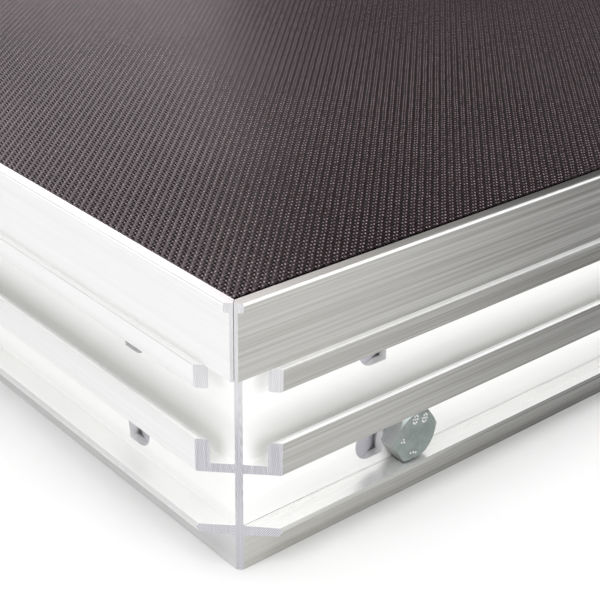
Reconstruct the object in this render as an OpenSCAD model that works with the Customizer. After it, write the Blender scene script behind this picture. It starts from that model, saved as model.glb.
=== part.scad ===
// Stage riser platform: a film-faced plywood deck in a mitred aluminium frame.
// Each frame corner holds a cast socket that grips a plug-in leg.
// Origin: centre of the footprint, on the plane the frame rests on. +Z is up.

/* [Platform] */
// Overall length over the frame lips
deck_l = 2000; // [1600:50:2400]
// Overall width over the frame lips
deck_w = 1000; // [800:50:1250]
// Height of the frame profile
frame_h = 95; // [92:1:100]
// Thickness of the plywood
ply_t = 15; // [12:1:16]
// Thickness of the anti-slip surface
film_t = 0.8; // [0.5:0.1:1.5]
// How far the deck surface lies below the frame's top edge
deck_recess = 0.4; // [0:0.1:1]

/* [Frame profile] */
// Thickness of the web, lips and flanges
wall_t = 3; // [2.5:0.5:3.5]
// Reach of the bottom flange tip beyond the web
tip_reach = 8.35; // [8.25:0.05:9]
// Reach of the groove lips beyond the web
lip_reach = 8.2; // [7.5:0.05:8.2]
// Reach of the top band beyond the web
band_reach = 6.1; // [5.5:0.1:6.5]
// Reach of the top bead beyond the web
bead_reach = 7.25; // [6.8:0.05:7.5]
// Width of the ledge that carries the deck
ledge_w = 25; // [20:1:30]

/* [Leg sockets] */
// Diameter of the hole that takes the leg
leg_bore_d = 49; // [48.8:0.1:49.5]
// Distance of each clamp bolt from the frame corner
bolt_u = 66.3; // [65:0.1:67]
// How far each clamp jaw opens
jaw_travel = 4; // [2:0.5:5]

/* [Hidden] */
$fn = 48;
eps = 0.01;
half_l = deck_l / 2 - tip_reach;
half_w = deck_w / 2 - tip_reach;

// Heights of the profile, measured down from its top edge
bead_h = 3;
band_h = 24.4;
hang_lip_bottom = 32;
up_lip_top = 49;
mid_flange_top = 57.1;
low_flange_top = 78.7;
low_flange_t = 3.4;
lip_in = lip_reach - wall_t;
band_in = 3.8;
ledge_top = deck_recess + film_t + ply_t;
ledge_under = frame_h - ledge_top - wall_t;

// Saw cuts across each frame corner, as the sum of both distances from the web corner
web_saw = 1.66;
band_saw = -10.56;
flange_saw = 9;
mitre_gap = 0.12;

// Stakes: web tongues pressed into the sockets
stake_u = 52;
stake_r = 6;
stake_end = 5.5;
stake_depth = 4.4;
low_stake_z = frame_h - 69.4;
high_stake_z = frame_h - 35.5;
stakes_z = [low_stake_z, high_stake_z];

// Clamp hardware, M10
bolt_z = frame_h - 69.6;
bolt_r = 5;
bolt_l = 80;
bolt_af = 17;
bolt_head_h = 6.4;
bolt_face_h = 0.4;
bolt_face_r = 7.8;
bolt_hole_r = 5.25;
nut_h = 8;
nut_bore_r = 5.05;
washer_r = 10;
washer_t = 2;
rub_gap = 0.05;

// Leg socket casting, measured inwards from the web corner
barrel_wall = 6;
leg_r = leg_bore_d / 2;
leg_u = wall_t + barrel_wall + 0.1 + leg_r;
pad_t = 8;
socket_z = 2;
socket_top = 5.8;
long_pad = 86;
short_pad = 72;
ear_v = 35;
jaw_v = 37;
jaw_u = 44;
jaw_back = 62;
jaw_end = 82;
jaw_half_h = 15.5;
guide_t = 7;
slide_gap = 0.06;

// Cross beams and their fixings
beam_x = [-deck_l / 4, 0, deck_l / 4];
beam_w = 30;
beam_h = 50;
beam_t = 2.5;
bracket_w = 40;
bracket_t = 4;
bracket_z = 18;
bracket_h = 46;
screw_z = [26, 52];
screw_r = 1.9;
screw_hole_r = 1.95;
screw_head_r = 3.65;
screw_head_h = 2.1;
screw_l = 13;
screw_x = [beam_w / 2 + 16, beam_w / 2 + 31];
recess_w = 0.8;
rivet_r = 2.4;
rivet_z = [33, 56];

// Screws that hold the deck down, driven up through the ledge
deck_screw_r = 2.1;
deck_screw_l = 14;
deck_screw_head_r = 4;
deck_screw_head_h = 2.4;
deck_screw_inset = 15;
long_screws = [for (f = [0.15, 0.35, 0.65, 0.85]) f * deck_l / 2];
short_screws = [for (f = [0.24, 0.7]) f * deck_w / 2];

FRONT_LEFT = [-1, -1];
FRONT_RIGHT = [1, -1];
BACK_LEFT = [-1, 1];
BACK_RIGHT = [1, 1];

// ---------- placing ----------

// Local axes at a corner: +X and +Y run inwards along the two frame sides.
module at_corner(c)
    translate([c[0] * half_l, c[1] * half_w, 0])
    mirror([c[0] > 0 ? 1 : 0, 0, 0])
    mirror([0, c[1] > 0 ? 1 : 0, 0])
    children();

// A flat shape drawn in X and Z, given thickness from y0 to y1
module along_y(y0, y1)
    translate([0, y1, 0])
    rotate([90, 0, 0])
    linear_extrude(height = y1 - y0)
    children();

// Both ends of a bar that is centred on the origin and lies along X
module both_ends(half_len)
    for (s = [0, 1])
        mirror([s, 0, 0])
        translate([-half_len, 0, 0])
        children();

// ---------- frame profile ----------

// Points on a quarter or other arc, for rounded corners of an outline
function arc(x, z, r, a0, a1, n = 4) =
    [for (i = [0 : n]) [x + r * cos(a0 + (a1 - a0) * i / n), z + r * sin(a0 + (a1 - a0) * i / n)]];

// Outline of the section: x is the reach beyond the web, z is measured from the top edge
function section_points() = concat(
    [[band_in, 0]],
    arc(bead_reach - 0.4, -0.4, 0.4, 90, 0),
    arc(bead_reach - 0.5, 0.5 - bead_h, 0.5, 0, -90),
    arc(band_reach + 0.2, -bead_h - 0.2, 0.2, 90, 180, 2),
    [[band_reach, -band_h]],
    arc(lip_reach - 0.5, -band_h - 0.5, 0.5, 90, 0),
    arc(lip_reach - 0.7, 0.7 - hang_lip_bottom, 0.7, 0, -90),
    arc(lip_in + 0.7, 0.7 - hang_lip_bottom, 0.7, -90, -180),
    [[lip_in, -band_h - wall_t]],
    arc(0.5, -band_h - wall_t - 0.5, 0.5, 90, 180, 3),
    arc(0.5, 0.5 - mid_flange_top, 0.5, 180, 270, 3),
    arc(lip_in - 0.3, 0.3 - mid_flange_top, 0.3, 270, 360, 2),
    arc(lip_in + 1.2, -up_lip_top - 1.2, 1.2, 180, 90, 6),
    arc(lip_reach - 0.3, -up_lip_top - 0.3, 0.3, 90, 0),
    arc(lip_reach - 0.4, 0.4 - mid_flange_top - wall_t, 0.4, 0, -90),
    arc(0.5, -mid_flange_top - wall_t - 0.5, 0.5, 90, 180, 3),
    arc(0.5, 0.5 - low_flange_top, 0.5, 180, 270, 3),
    [[tip_reach - 0.6, -low_flange_top - 0.15], [tip_reach, -low_flange_top - 1.4]],
    [[tip_reach - 0.7, -low_flange_top - 3.1]],
    arc(0.5, -low_flange_top - low_flange_t - 0.5, 0.5, 90, 180, 3),
    arc(-0.3, 0.3 - frame_h, 0.3, 0, -90, 2),
    arc(0.5 - wall_t, 0.5 - frame_h, 0.5, -90, -180, 3),
    [[-wall_t, -ledge_top - wall_t]],
    arc(0.8 - ledge_w - wall_t, 0.8 - ledge_top - wall_t, 0.8, -90, -180, 3),
    arc(0.8 - ledge_w - wall_t, -0.8 - ledge_top, 0.8, 180, 90, 3),
    [[band_in, -ledge_top]]
);

// D-shaped outline of a stake, drawn in X and Z around its height
module stake_outline(extra = 0) {
    translate([stake_u, 0])
        circle(r = stake_r + extra);
    translate([stake_u, -stake_r - extra])
        square([stake_end + extra, 2 * (stake_r + extra)]);
}

// The pressed-in tongue that fills a stake
module stake_tongue() {
    u0 = stake_u - stake_r;
    u1 = stake_u + stake_end;
    intersection() {
        along_y(-eps, 2 * pad_t)
            stake_outline();
        linear_extrude(height = 3 * stake_r, center = true)
            polygon([[u0, 0], [u1, stake_depth], [u1, stake_depth + wall_t], [u0, wall_t]]);
    }
}

// One mitred side of the frame, lying along X with its outer face towards -Y
module frame_side(half_len, offset, has_bolts, ledge_screws, beams) {
    over = 2 * tip_reach;
    inner = 2 * ledge_w;
    translate([0, -offset, 0])
    union() {
        difference() {
            intersection() {
                translate([-half_len - over, 0, frame_h])
                    rotate([90, 0, 90])
                    linear_extrude(height = 2 * (half_len + over))
                    polygon([for (p = section_points()) [-p[0], p[1]]]);
                translate([0, 0, -1])
                    linear_extrude(height = frame_h + 2)
                    polygon([
                        [-half_len - over, -over], [half_len + over, -over],
                        [half_len - inner, inner], [inner - half_len, inner]
                    ]);
            }
            both_ends(half_len) {
                corner_cuts();
                for (z = stakes_z)
                    translate([0, 0, z])
                    along_y(-eps, wall_t + eps)
                    stake_outline();
                if (has_bolts)
                    translate([bolt_u, wall_t + 1, bolt_z])
                    rotate([90, 0, 0])
                    cylinder(r = bolt_hole_r, h = wall_t + 2);
                for (x = ledge_screws)
                    translate([half_len - x, deck_screw_inset, ledge_under - 1])
                    cylinder(r = deck_screw_r + 0.3, h = wall_t + 2);
            }
            for (x = beams, dx = screw_x, z = screw_z)
                translate([x + dx, 0, z])
                rotate([-90, 0, 0]) {
                    translate([0, 0, -1])
                        cylinder(r = screw_hole_r, h = wall_t + 2);
                    countersunk_head(0.1);
                }
        }
        both_ends(half_len)
            for (z = stakes_z)
                translate([0, 0, z])
                stake_tongue();
    }
}

// Saw cuts that square off a frame corner and clear its upper groove
module corner_cuts() {
    far = 4 * tip_reach;
    band_z = frame_h - band_h;
    translate([0, 0, -1])
        linear_extrude(height = band_z + 1)
        polygon([[-far, web_saw + far], [-far, -far], [web_saw + far, -far]]);
    translate([0, 0, band_z - eps])
        linear_extrude(height = band_h + 1)
        polygon([[-far, band_saw + far], [-far, -far], [band_saw + far, -far]]);
    translate([0, 0, band_z - wall_t - 1])
        linear_extrude(height = wall_t + 1)
        polygon([[-far, 0], [-far, -lip_in], [flange_saw + lip_in, -lip_in], [flange_saw, 0]]);
    translate([0, 0, band_z])
        linear_extrude(height = band_h + 1)
        polygon([
            [mitre_gap - far, -far], [mitre_gap - band_in, -band_in],
            [-band_in - 1, -band_in], [-far - 1, -far]
        ]);
}

module frame_long_side()
    frame_side(half_l, half_w, true, long_screws, beam_x);

module frame_short_side()
    rotate([0, 0, -90])
    frame_side(half_w, half_l, false, short_screws, []);

module frame_front()
    color("gainsboro")
    frame_long_side();

module frame_back()
    color("gainsboro")
    mirror([0, 1, 0])
    frame_long_side();

module frame_left()
    color("whitesmoke")
    frame_short_side();

module frame_right()
    color("whitesmoke")
    mirror([1, 0, 0])
    frame_short_side();

// ---------- deck ----------

long_gap = 1.5;
short_gap = 0.6;
panel_l = 2 * (half_l + band_in - short_gap);
panel_w = 2 * (half_w + band_in - long_gap);
ply_z = frame_h - ledge_top;
film_z = ply_z + ply_t;

// Every deck screw position, one child per screw
module each_deck_screw() {
    for (sy = [-1, 1], sx = [-1, 1], x = long_screws)
        translate([sx * x, sy * (half_w - deck_screw_inset), 0])
        children();
    for (sy = [-1, 1], sx = [-1, 1], y = short_screws)
        translate([sx * (half_l - deck_screw_inset), sy * y, 0])
        children();
}

// Cross recess in a screw head, sunk from the plane of its face
module cross_recess(w, depth = 1.2)
    for (a = [0, 90])
        rotate([0, 0, a])
        translate([-w / 2, -recess_w / 2, -1])
        cube([w, recess_w, depth + 1]);

module deck_panel()
    color("sienna")
    difference() {
        translate([-panel_l / 2, -panel_w / 2, ply_z])
            cube([panel_l, panel_w, ply_t]);
        each_deck_screw()
            translate([0, 0, ply_z - 1])
            cylinder(r = deck_screw_r, h = ledge_under + deck_screw_l - ply_z + 1);
    }

module deck_surface()
    color("#3b3032")
    translate([-panel_l / 2, -panel_w / 2, film_z])
    cube([panel_l, panel_w, film_t]);

// Black joint between the deck and the frame
module edge_seal() {
    seal_h = 5;
    seal_z = film_z + film_t - deck_recess - seal_h;
    color("#1c1a1a")
    difference() {
        translate([-half_l - band_in, -half_w - band_in, seal_z])
            cube([2 * (half_l + band_in), 2 * (half_w + band_in), seal_h]);
        translate([-panel_l / 2, -panel_w / 2, seal_z - 1])
            cube([panel_l, panel_w, seal_h + 2]);
    }
}

module deck_screws()
    color("silver")
    each_deck_screw()
    difference() {
        union() {
            translate([0, 0, ledge_under - deck_screw_head_h])
                cylinder(r = deck_screw_head_r, h = deck_screw_head_h);
            translate([0, 0, ledge_under - eps])
                cylinder(r = deck_screw_r, h = deck_screw_l);
        }
        translate([0, 0, ledge_under - deck_screw_head_h])
            cross_recess(4.4);
    }

// ---------- cross beams ----------

module cross_beam(x) {
    beam_l = 2 * (half_w - wall_t);
    beam_z = ledge_under - beam_h;
    color("lightgray")
    difference() {
        translate([x - beam_w / 2, -beam_l / 2, beam_z])
            cube([beam_w, beam_l, beam_h]);
        translate([x - beam_w / 2 + beam_t, -beam_l / 2 - 1, beam_z + beam_t])
            cube([beam_w - 2 * beam_t, beam_l + 2, beam_h - 2 * beam_t]);
        for (s = [-1, 1], z = rivet_z)
            translate([x + beam_w / 2 - beam_t - 1, s * (half_w - wall_t - 26), z])
            rotate([0, 90, 0])
            cylinder(r = rivet_r, h = beam_t + 2);
    }
}

// Rubber tape between a cross beam and the deck
module beam_tape(x) {
    tape_l = 2 * (half_w - wall_t - ledge_w - 1);
    color("#2a2a2a")
    translate([x - beam_w / 2 + 1, -tape_l / 2, ledge_under])
    cube([beam_w - 2, tape_l, wall_t]);
}

// The three angle brackets of the front side
module beam_brackets()
    color("silver")
    for (x = beam_x)
        translate([x + beam_w / 2, wall_t - half_w, 0])
        difference() {
            union() {
                translate([0, 0, bracket_z])
                    cube([bracket_w, bracket_t, bracket_h]);
                translate([0, 0, bracket_z])
                    cube([bracket_t, bracket_w, bracket_h]);
            }
            for (dx = screw_x, z = screw_z)
                translate([dx - beam_w / 2, bracket_t + 1, z])
                rotate([90, 0, 0])
                cylinder(r = screw_hole_r, h = bracket_t + 2);
            for (z = rivet_z)
                translate([-1, 26, z])
                rotate([0, 90, 0])
                cylinder(r = rivet_r, h = bracket_t + 2);
        }

// Countersunk head whose flat face lies on the web's outer face
module countersunk_head(extra = 0) {
    translate([0, 0, -extra])
        cylinder(r = screw_head_r + extra, h = 0.3 + 2 * extra);
    translate([0, 0, 0.3])
        cylinder(r1 = screw_head_r + extra, r2 = screw_r, h = screw_head_h - 0.3);
}

// Every bracket screw position, with +Z pointing inwards through the web
module each_bracket_screw()
    for (s = [0, 1])
        mirror([0, s, 0])
        for (x = beam_x, dx = screw_x, z = screw_z)
            translate([x + dx, -half_w, z])
            rotate([-90, 0, 0])
            children();

module bracket_screws()
    color("silver")
    each_bracket_screw()
    difference() {
        union() {
            cylinder(r = screw_r, h = screw_l - 2);
            translate([0, 0, screw_l - 2 - eps])
                cylinder(r1 = screw_r, r2 = screw_r / 3, h = 2);
            countersunk_head();
        }
        cross_recess(3.4);
    }

module beam_rivets()
    color("silver")
    for (s = [0, 1])
        mirror([0, s, 0])
        for (x = beam_x, z = rivet_z)
            translate([x + beam_w / 2, wall_t + 26 - half_w, z])
            rotate([0, 90, 0])
            blind_rivet();

// Domed head outside the bracket, upset collar inside the beam
module blind_rivet() {
    translate([0, 0, -beam_t])
        cylinder(r = rivet_r, h = beam_t + bracket_t);
    translate([0, 0, -beam_t - 3])
        cylinder(r = 3.4, h = 3);
    translate([0, 0, bracket_t])
        cylinder(r1 = 4.8, r2 = 3, h = 1.6);
}

// ---------- leg sockets and clamps ----------

// Hexagon across flats af, with its top face chamfered, and its bottom face too if asked
module hex_prism(af, h, chamfer_bottom = true) {
    corner_r = af / sqrt(3);
    face_r = 0.97 * af / 2;
    slope = (corner_r - face_r) * tan(30);
    foot_r = chamfer_bottom ? face_r : corner_r + eps;
    intersection() {
        cylinder(r = corner_r, h = h, $fn = 6);
        rotate_extrude()
            polygon([
                [0, 0], [foot_r, 0], [corner_r + eps, slope],
                [corner_r + eps, h - slope], [face_r, h], [0, h]
            ]);
    }
}

module hex_nut(af, h, bore_r)
    difference() {
        hex_prism(af, h);
        translate([0, 0, -1])
            cylinder(r = bore_r, h = h + 2);
    }

// Axis of the clamp bolt: +Z runs inwards from the web's outer face
module on_bolt_axis(c)
    at_corner(c)
    translate([bolt_u, 0, bolt_z])
    rotate([-90, 0, 0])
    children();

// Cast socket for one leg, in corner axes
module leg_socket(c) {
    h = ledge_under - socket_z;
    jaw_z = bolt_z - jaw_half_h - slide_gap;
    jaw_slot_h = 2 * (jaw_half_h + slide_gap);
    color("darkgray")
    at_corner(c)
    difference() {
        union() {
            translate([leg_u, leg_u, socket_z])
                cylinder(r = leg_r + barrel_wall, h = h, $fn = 96);
            translate([wall_t, wall_t, socket_z])
                cube([long_pad - wall_t, pad_t, h]);
            translate([wall_t, wall_t, socket_z])
                cube([pad_t, short_pad - wall_t, h]);
            translate([wall_t, wall_t, socket_z])
                cube([leg_u - wall_t, leg_u - wall_t, h]);
            translate([leg_u, wall_t, jaw_z - guide_t])
                cube([long_pad - 2 - leg_u, jaw_back - wall_t, jaw_slot_h + 2 * guide_t]);
        }
        translate([leg_u, leg_u, socket_z - 1])
            cylinder(r = leg_r, h = h + 1 - socket_top, $fn = 96);
        translate([leg_u, leg_u, socket_z - eps])
            cylinder(r1 = leg_r + 1, r2 = leg_r, h = 1, $fn = 96);
        translate([jaw_u - 0.5, ear_v, jaw_z])
            cube([long_pad, jaw_back, jaw_slot_h]);
        translate([bolt_u, wall_t - 1, bolt_z])
            rotate([-90, 0, 0])
            cylinder(r = bolt_hole_r, h = ear_v);
        for (z = stakes_z)
            translate([0, 0, z]) {
                along_y(wall_t - 1, wall_t + stake_depth + 1)
                    stake_outline(0.3);
                mirror([1, -1, 0])
                    along_y(wall_t - 1, wall_t + stake_depth + 1)
                    stake_outline(0.3);
            }
    }
}

// Jaw that the clamp bolt draws against the leg, in corner axes
module clamp_jaw(c)
    color("dimgray")
    at_corner(c)
    difference() {
        translate([jaw_u, jaw_v, bolt_z - jaw_half_h])
            cube([jaw_end - jaw_u, jaw_back - jaw_v, 2 * jaw_half_h]);
        translate([leg_u, leg_u, bolt_z - jaw_half_h - 1])
            cylinder(r = leg_r, h = 2 * jaw_half_h + 2, $fn = 96);
        translate([bolt_u, jaw_v - 1, bolt_z])
            rotate([-90, 0, 0])
            cylinder(r = bolt_hole_r, h = jaw_back);
        translate([jaw_end, jaw_back, bolt_z])
            rotate([0, 0, 45])
            cube([8, 8, 2 * jaw_half_h + 2], center = true);
    }

module clamp_bolt(c, turn)
    color("#8a9692")
    on_bolt_axis(c)
    rotate([0, 0, turn]) {
        translate([0, 0, -bolt_face_h])
            mirror([0, 0, 1])
            hex_prism(bolt_af, bolt_head_h - bolt_face_h, false);
        translate([0, 0, -bolt_face_h - eps])
            cylinder(r = bolt_face_r, h = bolt_face_h + eps);
        cylinder(r = bolt_r, h = bolt_l);
    }

module clamp_washer(c)
    color("silver")
    on_bolt_axis(c)
    translate([0, 0, jaw_back])
    difference() {
        cylinder(r = washer_r, h = washer_t);
        translate([0, 0, -1])
            cylinder(r = bolt_hole_r, h = washer_t + 2);
    }

module clamp_nut(c)
    color("silver")
    on_bolt_axis(c)
    translate([0, 0, jaw_back + washer_t + rub_gap])
    hex_nut(bolt_af, nut_h, nut_bore_r);

// ---------- nodes ----------

frame_front();
frame_back();
frame_left();
frame_right();
deck_panel();
deck_surface();
edge_seal();
cross_beam(beam_x[0]);  // cross_beam_left
cross_beam(beam_x[1]);  // cross_beam_middle
cross_beam(beam_x[2]);  // cross_beam_right
beam_tape(beam_x[0]);  // beam_tape_left
beam_tape(beam_x[1]);  // beam_tape_middle
beam_tape(beam_x[2]);  // beam_tape_right
beam_brackets();  // beam_brackets_front
mirror([0, 1, 0]) beam_brackets();  // beam_brackets_back
bracket_screws();
beam_rivets();
deck_screws();
leg_socket(FRONT_LEFT);  // leg_socket_front_left
leg_socket(FRONT_RIGHT);  // leg_socket_front_right
leg_socket(BACK_LEFT);  // leg_socket_back_left
leg_socket(BACK_RIGHT);  // leg_socket_back_right
clamp_bolt(FRONT_LEFT, -4);  // clamp_bolt_front_left
clamp_bolt(FRONT_RIGHT, 3);  // clamp_bolt_front_right
clamp_bolt(BACK_LEFT, 5);  // clamp_bolt_back_left
clamp_bolt(BACK_RIGHT, 2);  // clamp_bolt_back_right
clamp_jaw(FRONT_LEFT);  // clamp_jaw_front_left
clamp_jaw(FRONT_RIGHT);  // clamp_jaw_front_right
clamp_jaw(BACK_LEFT);  // clamp_jaw_back_left
clamp_jaw(BACK_RIGHT);  // clamp_jaw_back_right
clamp_washer(FRONT_LEFT);  // clamp_washer_front_left
clamp_washer(FRONT_RIGHT);  // clamp_washer_front_right
clamp_washer(BACK_LEFT);  // clamp_washer_back_left
clamp_washer(BACK_RIGHT);  // clamp_washer_back_right
clamp_nut(FRONT_LEFT);  // clamp_nut_front_left
clamp_nut(FRONT_RIGHT);  // clamp_nut_front_right
clamp_nut(BACK_LEFT);  // clamp_nut_back_left
clamp_nut(BACK_RIGHT);  // clamp_nut_back_right
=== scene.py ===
import math

import bpy
from mathutils import Matrix, Vector


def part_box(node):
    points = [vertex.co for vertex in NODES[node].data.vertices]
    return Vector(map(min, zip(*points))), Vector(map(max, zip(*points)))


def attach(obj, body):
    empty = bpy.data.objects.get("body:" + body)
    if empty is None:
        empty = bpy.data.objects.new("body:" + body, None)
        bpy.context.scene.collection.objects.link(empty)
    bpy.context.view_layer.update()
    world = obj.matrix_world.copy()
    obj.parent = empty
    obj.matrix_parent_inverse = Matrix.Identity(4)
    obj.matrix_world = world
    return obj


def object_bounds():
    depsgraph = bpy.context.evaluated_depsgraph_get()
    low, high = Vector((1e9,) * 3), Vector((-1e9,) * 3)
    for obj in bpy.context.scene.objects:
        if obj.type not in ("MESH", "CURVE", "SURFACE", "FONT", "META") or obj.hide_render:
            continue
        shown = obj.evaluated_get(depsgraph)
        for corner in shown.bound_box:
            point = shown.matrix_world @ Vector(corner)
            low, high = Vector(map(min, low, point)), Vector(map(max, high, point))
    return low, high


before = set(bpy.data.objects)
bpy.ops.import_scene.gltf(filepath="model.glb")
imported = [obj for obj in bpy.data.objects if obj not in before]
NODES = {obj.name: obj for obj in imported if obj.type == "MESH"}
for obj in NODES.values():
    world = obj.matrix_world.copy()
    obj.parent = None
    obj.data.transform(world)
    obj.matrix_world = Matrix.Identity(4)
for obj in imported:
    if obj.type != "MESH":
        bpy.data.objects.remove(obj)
cad_low, cad_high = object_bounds()

MM = 0.001
PI = math.pi


# ---------- places taken from the frame ----------

# The near corner of the frame's top edge, where the outer faces of the two webs meet
TIP_REACH = 8.35 * MM
CORNER = Vector((cad_low.x + TIP_REACH, cad_low.y + TIP_REACH, cad_high.z))
HALF_LENGTH = -CORNER.x
HALF_WIDTH = -CORNER.y
# Heights on the frame profile
FLANGE_TOP = 18 * MM
FOOT_TOP = 12.5 * MM
LIP_TOP = 46 * MM
RIM_BOTTOM = 85 * MM
BEAD_EDGE = 93.9 * MM
# How far the pattern and the painted shade change, measured from a deck edge or a frame end
WORN_AWAY = 190 * MM
LIGHTER_END_LENGTH = 160 * MM
# Pitch of the wire mesh that embossed the film
MESH_PITCH = 1.68 * MM
# Thickness of one layer of the plywood, twice over, since light and dark layers alternate
PLY_PAIR = 2.8 * MM
# How far each bolt head is turned, in degrees
BOLT_TURNS = {"front_left": -13, "front_right": 34, "back_left": 71, "back_right": -52}
# The camera's azimuth, pitch and roll in degrees, its lens and its place from the near corner in millimetres
CAMERA_ANGLES = (40.277, 27.012, 0.816)
CAMERA_LENS = 83.8
CAMERA_OFFSET = Vector((-205.5, -269.0, 169.8))
FLOOR_REACH = 40.0
WHITE = (1.0, 1.0, 1.0)
PINK = (1.0, 0.93, 0.955)
# Name, place from the floor below the near corner, size in metres, power in watts and tint
SOFTBOXES = (
    ("front_low", (0.3, -2.2, 0.9), (2.0, 1.0), 30, WHITE),
    ("left_high", (-1.7, -0.3, 2.2), (1.6, 1.2), 15, WHITE),
    ("left_low", (-2.2, 0.0, 0.7), (1.6, 0.9), 18, WHITE),
    ("left_back", (-1.0, 1.9, 1.7), (1.2, 0.8), 7, WHITE),
    ("edge_light", (1.3, -0.6, 1.7), (0.7, 0.5), 6, WHITE),
    ("back_panel", (1.0, 3.2, 1.75), (2.6, 1.6), 23, PINK),
)


# ---------- material building ----------


class Look:
    """One material. Its methods add nodes, so that a pattern reads as a formula."""

    def __init__(self, name):
        self.material = bpy.data.materials.new(name)
        self.material.use_nodes = True
        self.tree = self.material.node_tree
        self.tree.nodes.clear()
        output = self.tree.nodes.new("ShaderNodeOutputMaterial")
        self.shader = self.tree.nodes.new("ShaderNodeBsdfPrincipled")
        self.tree.links.new(self.shader.outputs["BSDF"], output.inputs["Surface"])

    def put(self, socket, value):
        if isinstance(value, bpy.types.NodeSocket):
            self.tree.links.new(value, socket)
        else:
            socket.default_value = value

    def set(self, **values):
        for name, value in values.items():
            self.put(self.shader.inputs[name.replace("_", " ")], value)

    def math(self, operation, *values):
        node = self.tree.nodes.new("ShaderNodeMath")
        node.operation = operation
        for socket, value in zip(node.inputs, values):
            self.put(socket, value)
        return node.outputs[0]

    def add(self, a, b):
        return self.math("ADD", a, b)

    def times(self, a, b):
        return self.math("MULTIPLY", a, b)

    def position(self):
        return self.tree.nodes.new("ShaderNodeTexCoord").outputs["Object"]

    def normal(self):
        return self.tree.nodes.new("ShaderNodeTexCoord").outputs["Normal"]

    def split(self, vector):
        node = self.tree.nodes.new("ShaderNodeSeparateXYZ")
        self.put(node.inputs[0], vector)
        return node.outputs

    def join(self, x, y, z):
        node = self.tree.nodes.new("ShaderNodeCombineXYZ")
        for socket, value in zip(node.inputs, (x, y, z)):
            self.put(socket, value)
        return node.outputs[0]

    def stretch(self, vector, factors):
        node = self.tree.nodes.new("ShaderNodeVectorMath")
        node.operation = "MULTIPLY"
        self.put(node.inputs[0], vector)
        self.put(node.inputs[1], factors)
        return node.outputs[0]

    def noise(self, vector, scale=1.0, detail=2.0, roughness=0.5):
        node = self.tree.nodes.new("ShaderNodeTexNoise")
        self.put(node.inputs["Vector"], vector)
        node.inputs["Scale"].default_value = scale
        node.inputs["Detail"].default_value = detail
        node.inputs["Roughness"].default_value = roughness
        return node.outputs["Fac"]

    def spread(self, value, low, high, to_low=0.0, to_high=1.0):
        node = self.tree.nodes.new("ShaderNodeMapRange")
        node.interpolation_type = "SMOOTHSTEP"
        self.put(node.inputs["Value"], value)
        node.inputs["From Min"].default_value = low
        node.inputs["From Max"].default_value = high
        node.inputs["To Min"].default_value = to_low
        node.inputs["To Max"].default_value = to_high
        return node.outputs["Result"]

    def blend(self, factor, a, b):
        node = self.tree.nodes.new("ShaderNodeMix")
        node.data_type = "RGBA"
        self.put(node.inputs["Factor"], factor)
        for socket, value in ((node.inputs["A"], a), (node.inputs["B"], b)):
            self.put(socket, value if isinstance(value, bpy.types.NodeSocket) else (*value, 1.0))
        return node.outputs["Result"]

    def between(self, factor, a, b):
        node = self.tree.nodes.new("ShaderNodeMix")
        self.put(node.inputs["Factor"], factor)
        self.put(node.inputs["A"], a)
        self.put(node.inputs["B"], b)
        return node.outputs["Result"]

    def bump(self, height, distance):
        node = self.tree.nodes.new("ShaderNodeBump")
        node.inputs["Strength"].default_value = 1.0
        node.inputs["Distance"].default_value = distance
        self.put(node.inputs["Height"], height)
        self.put(self.shader.inputs["Normal"], node.outputs["Normal"])


def wear(node, look):
    """Gives a CAD node its material."""
    mesh = NODES[node].data
    mesh.materials.clear()
    mesh.materials.append(look.material)


# ---------- materials ----------


def saw_marks(look, facing, spot):
    """Marks on a face that was cut across a corner: upright ones, and slanting ones on its lowest part."""
    swing = look.add(look.times(facing[0], spot[1]), look.times(look.times(facing[1], spot[0]), -1.0))
    teeth = look.add(look.times(swing, 1.0 / MM), look.times(spot[2], 0.15 / MM))
    rows = look.join(look.times(swing, 2.2 / MM), look.times(spot[2], 60.0), 0.0)
    ragged = look.noise(rows, detail=3)
    low_part = look.spread(spot[2], 24 * MM, 19 * MM)
    diagonal = look.add(look.times(swing, 9.0 / MM), look.times(spot[2], -7.0 / MM))
    stripes = look.times(look.math("SINE", diagonal), 0.5)
    upright = look.times(look.math("SINE", look.times(teeth, 11.0)), 0.18)
    return look.between(low_part, look.add(upright, ragged), look.add(stripes, ragged))


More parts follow.
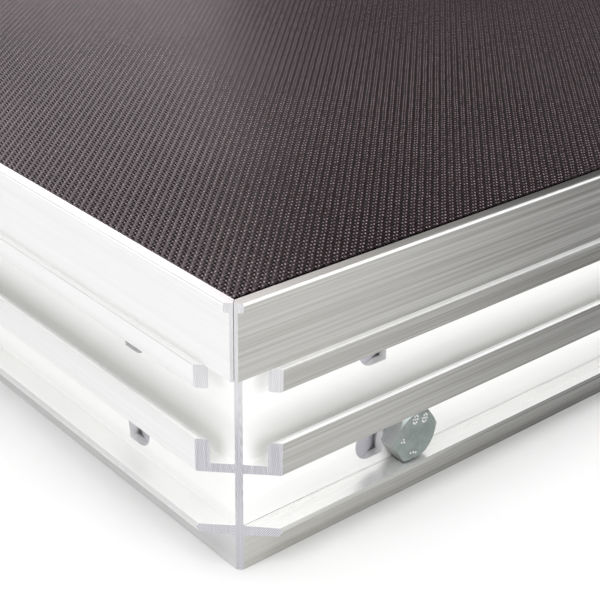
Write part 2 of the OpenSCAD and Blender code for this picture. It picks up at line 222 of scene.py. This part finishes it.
def extruded_aluminium(
    name, along_x, web_at, shaded_outer_dark, shaded_outer_light, shade_away_from_ends=1.0, shine=0.0, foot_tone=0.78
):
    """Mill-finish extrusion with lengthwise die lines. Outer faces are painted darker than the groove webs
    as painted shade, which lightens towards the frame ends, and faces cut across a corner show saw marks.
    web_at is the distance of the web's outer face from the middle, shade_away_from_ends the painted shade's
    tone away from the ends, shine the gloss of the lower flange and foot_tone the scale of the painted shade
    on the profile's foot."""
    look = Look(name)
    place = look.position()
    lengthwise = (lambda a, b: (a, b, b)) if along_x else (lambda a, b: (b, a, b))
    broad = look.noise(look.stretch(place, lengthwise(1.5, 0.12 / MM)), detail=2)
    fine = look.noise(look.stretch(place, lengthwise(4.0, 0.9 / MM)), detail=3)
    hair = look.noise(look.stretch(place, lengthwise(18.0, 5.0 / MM)), detail=1)
    handling = look.noise(place, scale=9.0, detail=4)
    lines = look.add(look.times(fine, 0.6), look.times(hair, 0.4))

    facing = look.split(look.normal())
    spot = look.split(place)
    slant = look.math("ABSOLUTE", look.times(facing[0], facing[1]))
    sawn = look.spread(slant, 0.42, 0.46)
    sheared = look.times(look.spread(slant, 0.04, 0.08), look.spread(slant, 0.44, 0.42))
    marks = saw_marks(look, facing, spot)

    out = look.math("ABSOLUTE", spot[1] if along_x else spot[0])
    beyond = look.spread(out, web_at + 1.5 * MM, web_at + 3.0 * MM)
    lengthways = look.math("ABSOLUTE", spot[0] if along_x else spot[1])
    end = HALF_LENGTH if along_x else HALF_WIDTH
    # Painted shade: away from the frame ends the outer faces are painted darker, fading to no change at the
    # ends.
    end_lightening = look.spread(lengthways, end - LIGHTER_END_LENGTH, end, shade_away_from_ends, 1.0)
    foot = look.spread(spot[2], FOOT_TOP + 1 * MM, FOOT_TOP)
    upright_face = look.spread(look.math("ABSOLUTE", facing[2]), 0.75, 0.45)
    rim = look.spread(spot[2], RIM_BOTTOM, RIM_BOTTOM + 3 * MM)
    outer = look.times(look.math("MAXIMUM", beyond, foot), look.math("MAXIMUM", upright_face, rim))
    outward = look.times(facing[1], spot[1]) if along_x else look.times(facing[0], spot[0])
    outer = look.times(outer, look.spread(outward, -0.2, -0.1))
    # Painted shade: outer faces get a darker base colour than the groove webs.
    shaded_outer_base = look.blend(look.spread(broad, 0.3, 0.7), shaded_outer_dark, shaded_outer_light)
    # Painted light: the rim's top faces are painted 1.9 times lighter, and the foot's painted shade is
    # scaled by foot_tone.
    rim_top = look.times(rim, look.spread(upright_face, 1.0, 0.0))
    tone = look.times(end_lightening, look.between(rim_top, look.between(foot, 1.0, foot_tone), 1.9))
    shaded_outer_base = look.stretch(shaded_outer_base, look.join(tone, tone, tone))
    web_base = look.blend(look.spread(broad, 0.3, 0.7), (0.91, 0.91, 0.90), (0.95, 0.95, 0.94))
    plain = look.blend(outer, web_base, shaded_outer_base)
    # Painted highlight: the topmost strip of the bead's outer face is painted near white.
    bead_top = look.spread(spot[2], BEAD_EDGE, BEAD_EDGE + 0.4 * MM)
    painted_bead_highlight = look.times(bead_top, look.spread(facing[2], 0.95, 0.6))
    plain = look.blend(painted_bead_highlight, plain, (0.97, 0.97, 0.97))
    # Painted highlight and painted shade on the lips' top faces: the outer strip is painted near white, the
    # inner part grey.
    above = look.spread(spot[2], LIP_TOP - 2 * MM, LIP_TOP - 1 * MM)
    below = look.spread(spot[2], LIP_TOP + 4 * MM, LIP_TOP + 2 * MM)
    lip_top = look.times(look.times(look.spread(facing[2], 0.6, 0.9), beyond), look.times(above, below))
    lip_highlight_band = look.spread(out, web_at + 6.6 * MM, web_at + 7.2 * MM)
    lip_top_painted_light = look.blend(lip_highlight_band, (0.72, 0.72, 0.715), (0.98, 0.98, 0.98))
    plain = look.blend(lip_top, plain, lip_top_painted_light)
    streaked = look.blend(look.spread(lines, 0.35, 0.68, 0.0, 0.22), plain, (0.97, 0.97, 0.965))
    cut = look.blend(look.spread(marks, 0.2, 1.1), (0.42, 0.415, 0.45), (0.71, 0.705, 0.745))
    # Painted light: the cut faces are painted lighter towards the top of the profile, from 42 mm up to 62
    # mm.
    cut = look.blend(look.spread(spot[2], 42 * MM, 62 * MM, 0.0, 0.4), cut, (0.86, 0.855, 0.85))
    low_down = look.spread(spot[2], FLANGE_TOP + 4 * MM, FLANGE_TOP, 0.0, shine)
    shelf = look.times(look.spread(upright_face, 1.0, 0.0), low_down)
    drawn = look.spread(lines, 0.3, 0.7, 0.30, 0.44)
    handled = look.spread(handling, 0.45, 0.75, 0.0, 0.07)
    extra_rough = look.between(outer, look.between(shelf, 0.12, -0.1), 0.0)
    rough = look.add(look.add(drawn, handled), extra_rough)
    look.set(
        Base_Color=look.blend(sheared, look.blend(sawn, streaked, cut), (0.56, 0.55, 0.60)),
        Metallic=look.between(sawn, look.between(outer, look.between(shelf, 0.45, 0.9), 0.9), 0.7),
        Roughness=look.between(sawn, rough, 0.5),
    )
    height = look.between(sawn, look.times(lines, look.spread(shelf, 0.3, 0.0)), look.times(marks, 1.5))
    look.bump(height, 0.015 * MM)
    return look


def mesh_film(name):
    """Dark phenolic film embossed by a wire mesh. Every knuckle of the mesh leaves two small ridges,
    coloured light as painted highlights, and three pits beside them, coloured near black as painted shadow,
    and the knuckles stand in a chequered order. Away from the deck's edges the pattern is worn down and the
    film turns lighter and more purple in cloudy patches."""
    look = Look(name)
    place = look.position()
    wobble = look.noise(place, scale=300.0, detail=2)
    spot = look.split(place)
    x = look.times(look.add(spot[0], look.times(wobble, 0.5 * MM)), 0.5 / MESH_PITCH)
    y = look.times(look.add(spot[1], look.times(wobble, -0.4 * MM)), 0.5 / MESH_PITCH)
    along, aside = look.add(x, y), look.add(x, look.times(y, -1.0))

    def dot(at_x, at_y, radius):
        """1 in the middle of one spot of the pattern, 0 outside it."""
        offsets = []
        for value, middle in ((along, at_x + at_y), (aside, at_x - at_y)):
            turn = look.math("FRACT", look.add(value, 0.5 - middle / 2.0 + 8.0))
            offsets.append(look.times(look.add(turn, -0.5), 2.0))
        lengths = look.times(look.times(offsets[0], offsets[0]), 0.55)
        widths = look.times(look.times(offsets[1], offsets[1]), 1.9)
        return look.spread(look.add(lengths, widths), 2.0 * radius * radius, 0.0)

    to_end = look.add(look.times(look.math("ABSOLUTE", spot[0]), -1.0), HALF_LENGTH)
    to_side = look.add(look.times(look.math("ABSOLUTE", spot[1]), -1.0), HALF_WIDTH)
    crisp = look.spread(look.math("MINIMUM", to_end, to_side), 30 * MM, WORN_AWAY, 1.0, 0.3)
    worn = look.spread(crisp, 1.0, 0.3)
    ridge = look.times(look.add(dot(0.06, 0.62, 0.24), dot(0.66, 0.48, 0.26)), crisp)
    pit = look.add(dot(-0.20, 0.82, 0.34), dot(0.53, 1.05, 0.39))
    pit = look.times(look.add(pit, look.times(dot(0.36, 0.56, 0.28), 0.9)), crisp)
    knuckles = look.noise(place, scale=520.0, detail=2, roughness=0.7)
    scuffs = look.noise(place, scale=900.0, detail=3, roughness=0.7)
    patches = look.noise(place, scale=14.0, detail=5, roughness=0.6)
    patchy = look.spread(patches, 0.3, 0.7)
    base = look.blend(patchy, (0.006, 0.0032, 0.0038), (0.012, 0.0068, 0.0082))
    base = look.blend(look.spread(scuffs, 0.42, 0.75, 0.0, 0.8), base, (0.062, 0.040, 0.045))
    # Away from the deck's edges the film's colour is lifted towards a lighter purple in cloudy patches.
    far_clouds = look.noise(look.stretch(place, (6.0, 15.0, 1.0)), detail=5, roughness=0.65)
    far_patches = look.times(look.spread(far_clouds, 0.48, 0.72), look.times(worn, 0.65))
    far_lightening = look.add(look.times(worn, 0.35), far_patches)
    base = look.blend(look.times(far_lightening, 0.6), base, (0.085, 0.055, 0.066))
    # Painted highlight: the ridges are coloured light where the mesh's glints fall.
    lit = look.times(ridge, look.spread(knuckles, 0.30, 0.68, 0.15, 1.0))
    with_painted_glints = look.blend(look.math("MINIMUM", lit, 1.0), base, (0.50, 0.39, 0.42))
    # Painted shadow: the pits are coloured near black and lose their specular.
    painted_pit_shadow = look.math("MINIMUM", pit, 1.0)
    look.set(
        Base_Color=look.blend(painted_pit_shadow, with_painted_glints, (0.001, 0.0005, 0.0005)),
        Roughness=look.add(look.times(scuffs, 0.08), 0.20),
        Specular_IOR_Level=look.between(painted_pit_shadow, look.spread(patches, 0.3, 0.7, 0.20, 0.29), 0.0),
        Specular_Tint=(1.0, 0.74, 0.79, 1.0),
    )
    look.bump(look.add(look.times(ridge, 0.7), look.times(pit, -1.0)), 0.10 * MM)
    return look


def plywood(name):
    """Smooth film-faced underside and layered birch edges."""
    look = Look(name)
    place = look.position()
    spot = look.split(place)
    facing = look.split(look.normal())
    edge = look.spread(look.math("ABSOLUTE", facing[2]), 0.6, 0.4)
    layers = look.math("SINE", look.times(spot[2], 2 * PI / PLY_PAIR))
    grain = look.noise(look.stretch(place, (6.0, 220.0, 220.0)), detail=5)
    film = look.blend(look.spread(grain, 0.35, 0.7), (0.045, 0.027, 0.020), (0.085, 0.052, 0.038))
    birch = look.blend(look.spread(layers, -0.3, 0.3), (0.30, 0.18, 0.09), (0.58, 0.42, 0.25))
    look.set(Base_Color=look.blend(edge, film, birch), Roughness=look.between(edge, 0.42, 0.8))
    look.bump(grain, 0.05 * MM)
    return look


def rubber(name, colour):
    """Matt black rubber or joint compound with a fine grain."""
    look = Look(name)
    grain = look.noise(look.position(), scale=1800.0, detail=3)
    look.set(
        Base_Color=look.blend(look.spread(grain, 0.3, 0.7), colour, [1.6 * c for c in colour]),
        Roughness=look.spread(grain, 0.3, 0.7, 0.6, 0.8),
    )
    look.bump(grain, 0.05 * MM)
    return look


def cast_metal(name, light, dark, metallic, grain_size=0.8):
    """A cast surface: pebbled skin, slightly cloudy colour."""
    look = Look(name)
    place = look.position()
    pebbles = look.noise(place, scale=1.0 / (grain_size * MM), detail=4, roughness=0.6)
    clouds = look.noise(place, scale=35.0, detail=4)
    colour = look.blend(look.spread(clouds, 0.3, 0.7), dark, light)
    look.set(
        Base_Color=colour,
        Metallic=metallic,
        Roughness=look.spread(pebbles, 0.3, 0.7, 0.42, 0.62),
    )
    look.bump(pebbles, 0.12 * MM)
    return look


def zinc(name, light, dark):
    """Zinc-plated steel with cloudy passivation and fine turning marks. Faces along the bolt's axis are
    painted brighter, a painted reflection of the pale web beside them."""
    look = Look(name)
    place = look.position()
    clouds = look.noise(place, scale=260.0, detail=5, roughness=0.6)
    specks = look.noise(place, scale=2400.0, detail=2)
    colour = look.blend(look.spread(clouds, 0.32, 0.68), dark, light)
    # Painted reflection: faces along the bolt's axis are blended towards a pale grey.
    painted_flank_reflection = look.spread(look.math("ABSOLUTE", look.split(look.normal())[1]), 0.9, 0.5)
    look.set(
        Base_Color=look.blend(look.times(painted_flank_reflection, 0.35), colour, (0.80, 0.79, 0.76)),
        Metallic=0.9,
        Roughness=look.add(look.spread(clouds, 0.3, 0.7, 0.26, 0.38), look.times(specks, 0.08)),
    )
    look.bump(look.add(clouds, look.times(specks, 0.5)), 0.03 * MM)
    return look


def dress_nodes():
    """Gives every CAD node its material. The keys of looks are the beginnings of node names."""
    long_side = extruded_aluminium(
        "aluminium_long_sides", True, HALF_WIDTH, (0.375, 0.37, 0.348), (0.435, 0.43, 0.408),
        shade_away_from_ends=0.36, shine=0.8, foot_tone=1.3,
    )
    short_side = extruded_aluminium(
        "aluminium_short_sides", False, HALF_LENGTH, (0.77, 0.77, 0.77), (0.84, 0.84, 0.84)
    )
    beam = extruded_aluminium("aluminium_beams", False, HALF_LENGTH, (0.8, 0.8, 0.8), (0.9, 0.9, 0.9))
    film = mesh_film("mesh_film")
    wood = plywood("plywood")
    seal = rubber("joint_black", (0.002, 0.002, 0.002))
    seal.set(Specular_IOR_Level=0.03, Roughness=0.9)
    tape = rubber("tape_rubber", (0.018, 0.018, 0.018))
    casting = cast_metal("cast_aluminium", (0.70, 0.70, 0.69), (0.56, 0.56, 0.56), 0.85)
    jaw = cast_metal("malleable_iron_zinc", (0.46, 0.47, 0.46), (0.34, 0.35, 0.35), 0.8, 0.5)
    bolt = zinc("zinc_green_grey", (0.28, 0.318, 0.305), (0.205, 0.238, 0.23))
    bright = zinc("zinc_bright", (0.74, 0.74, 0.73), (0.60, 0.60, 0.60))
    looks = {
        "frame_front": long_side, "frame_back": long_side,
        "frame_left": short_side, "frame_right": short_side,
        "deck_panel": wood, "deck_surface": film, "edge_seal": seal,
        "cross_beam": beam, "beam_tape": tape, "beam_brackets": casting,
        "bracket_screws": bright, "beam_rivets": bright, "deck_screws": bright,
        "leg_socket": casting, "clamp_bolt": bolt, "clamp_jaw": jaw,
        "clamp_washer": bright, "clamp_nut": bright,
    }
    for node in NODES:
        for start, look in looks.items():
            if node.startswith(start):
                wear(node, look)


# ---------- raised marks on the bolt heads ----------


def add_pips(corner, turn):
    """Small raised pips on the face of one bolt head: two loops at its top, a few at one side and below."""
    low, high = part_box("clamp_bolt_" + corner)
    middle = (low + high) / 2
    outward = 1 if corner.startswith("back") else -1
    face = high.y if outward > 0 else low.y
    # Places are in millimetres from the middle of the head, before it is turned
    loop = [(0.95 * math.sin(a), 1.45 * math.cos(a)) for a in (i * PI / 4 for i in range(8))]
    spots = [(side * 2.1 + u, 5.9 + v) for side in (-1, 1) for u, v in loop + [(0, 0)]]
    spots += [(-5.6, -0.7), (-6.2, -1.6), (-5.0, -1.7), (-0.9, -6.1), (0.4, -6.0), (1.5, -6.2)]
    # Radius and height of each ring of one pip
    rings = ((0.42, 0.0), (0.34, 0.14), (0.16, 0.22))
    sides = 8
    buried = 0.05
    vertices, faces = [], []
    for u, v in spots:
        start = len(vertices)
        for radius, rise in rings:
            for step in range(sides):
                angle = 2 * PI * step / sides
                across, up = u + radius * math.cos(angle), v + radius * math.sin(angle)
                x = across * math.cos(turn) - up * math.sin(turn)
                z = across * math.sin(turn) + up * math.cos(turn)
                y = face + outward * (rise - buried) * MM
                vertices.append((middle.x - outward * x * MM, y, middle.z + z * MM))
        for ring in range(len(rings) - 1):
            for step in range(sides):
                a, b = start + ring * sides + step, start + ring * sides + (step + 1) % sides
                faces.append((a, b, b + sides, a + sides))
        faces.append(tuple(range(start + 2 * sides, start + 3 * sides)))
    mesh = bpy.data.meshes.new("bolt_pips_" + corner)
    mesh.from_pydata(vertices, [], faces)
    mesh.materials.append(NODES["bracket_screws"].data.materials[0])
    pips = bpy.data.objects.new("bolt_pips_" + corner, mesh)
    bpy.context.scene.collection.objects.link(pips)
    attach(pips, "platform")


# ---------- camera, light and floor ----------


def add_camera():
    """Looks down at the near corner of the frame from close by, along a long lens."""
    azimuth, pitch, roll = (math.radians(a) for a in CAMERA_ANGLES)
    forward = Vector((
        math.sin(azimuth) * math.cos(pitch), math.cos(azimuth) * math.cos(pitch), -math.sin(pitch)
    ))
    level = Vector((math.cos(azimuth), -math.sin(azimuth), 0))
    upright = level.cross(forward)
    right = level * math.cos(roll) + upright * math.sin(roll)
    up = upright * math.cos(roll) - level * math.sin(roll)
    data = bpy.data.cameras.new("camera")
    data.sensor_width = 36
    data.lens = CAMERA_LENS
    data.clip_start = 0.01
    camera = bpy.data.objects.new("camera", data)
    place = Matrix((right, up, -forward)).transposed().to_4x4()
    place.translation = CORNER + CAMERA_OFFSET * MM
    camera.matrix_world = place
    bpy.context.scene.collection.objects.link(camera)
    bpy.context.scene.camera = camera


def add_softbox(name, place, target, size, power, tint):
    """A rectangular soft light at place that points at target."""
    data = bpy.data.lights.new(name, "AREA")
    data.shape = "RECTANGLE"
    data.size, data.size_y = size
    data.energy = power
    data.color = tint
    light = bpy.data.objects.new(name, data)
    light.location = place
    light.rotation_euler = (target - place).to_track_quat("-Z", "Y").to_euler()
    bpy.context.scene.collection.objects.link(light)


def add_floor():
    """A wide white floor that the platform rests on."""
    mesh = bpy.data.meshes.new("floor")
    corners = [(FLOOR_REACH * x, FLOOR_REACH * y, 0) for x, y in ((-1, -1), (1, -1), (1, 1), (-1, 1))]
    mesh.from_pydata(corners, [], [(0, 1, 2, 3)])
    floor = bpy.data.objects.new("floor", mesh)
    look = Look("floor_white")
    look.set(Base_Color=(0.93, 0.93, 0.93, 1.0), Roughness=0.9)
    mesh.materials.append(look.material)
    bpy.context.scene.collection.objects.link(floor)


def add_studio_walls():
    """Dim surroundings with a pale band along the horizon."""
    world = bpy.data.worlds.new("studio")
    world.use_nodes = True
    nodes, links = world.node_tree.nodes, world.node_tree.links
    background = nodes["Background"]
    background.inputs["Color"].default_value = (1.0, 1.0, 1.0, 1.0)
    direction = nodes.new("ShaderNodeTexCoord")
    parts = nodes.new("ShaderNodeSeparateXYZ")
    fade = nodes.new("ShaderNodeMapRange")
    fade.inputs["From Min"].default_value = 0.04
    fade.inputs["From Max"].default_value = 0.14
    fade.inputs["To Min"].default_value = 0.75
    fade.inputs["To Max"].default_value = 0.06
    links.new(direction.outputs["Generated"], parts.inputs[0])
    links.new(parts.outputs["Z"], fade.inputs["Value"])
    links.new(fade.outputs["Result"], background.inputs["Strength"])
    bpy.context.scene.world = world


def add_light():
    """Soft light from above and from panels around the near corner."""
    sun = bpy.data.lights.new("overhead", "SUN")
    sun.energy = 1.5
    sun.angle = 1.2
    bpy.context.scene.collection.objects.link(bpy.data.objects.new("overhead", sun))
    near = Vector((CORNER.x, CORNER.y, 0.0))
    for name, offset, size, power, tint in SOFTBOXES:
        add_softbox(name, near + Vector(offset), near, size, power, tint)
    bpy.context.scene.view_settings.view_transform = "Standard"


dress_nodes()
for corner, turn in BOLT_TURNS.items():
    add_pips(corner, math.radians(turn))
add_camera()
add_studio_walls()
add_light()
add_floor()
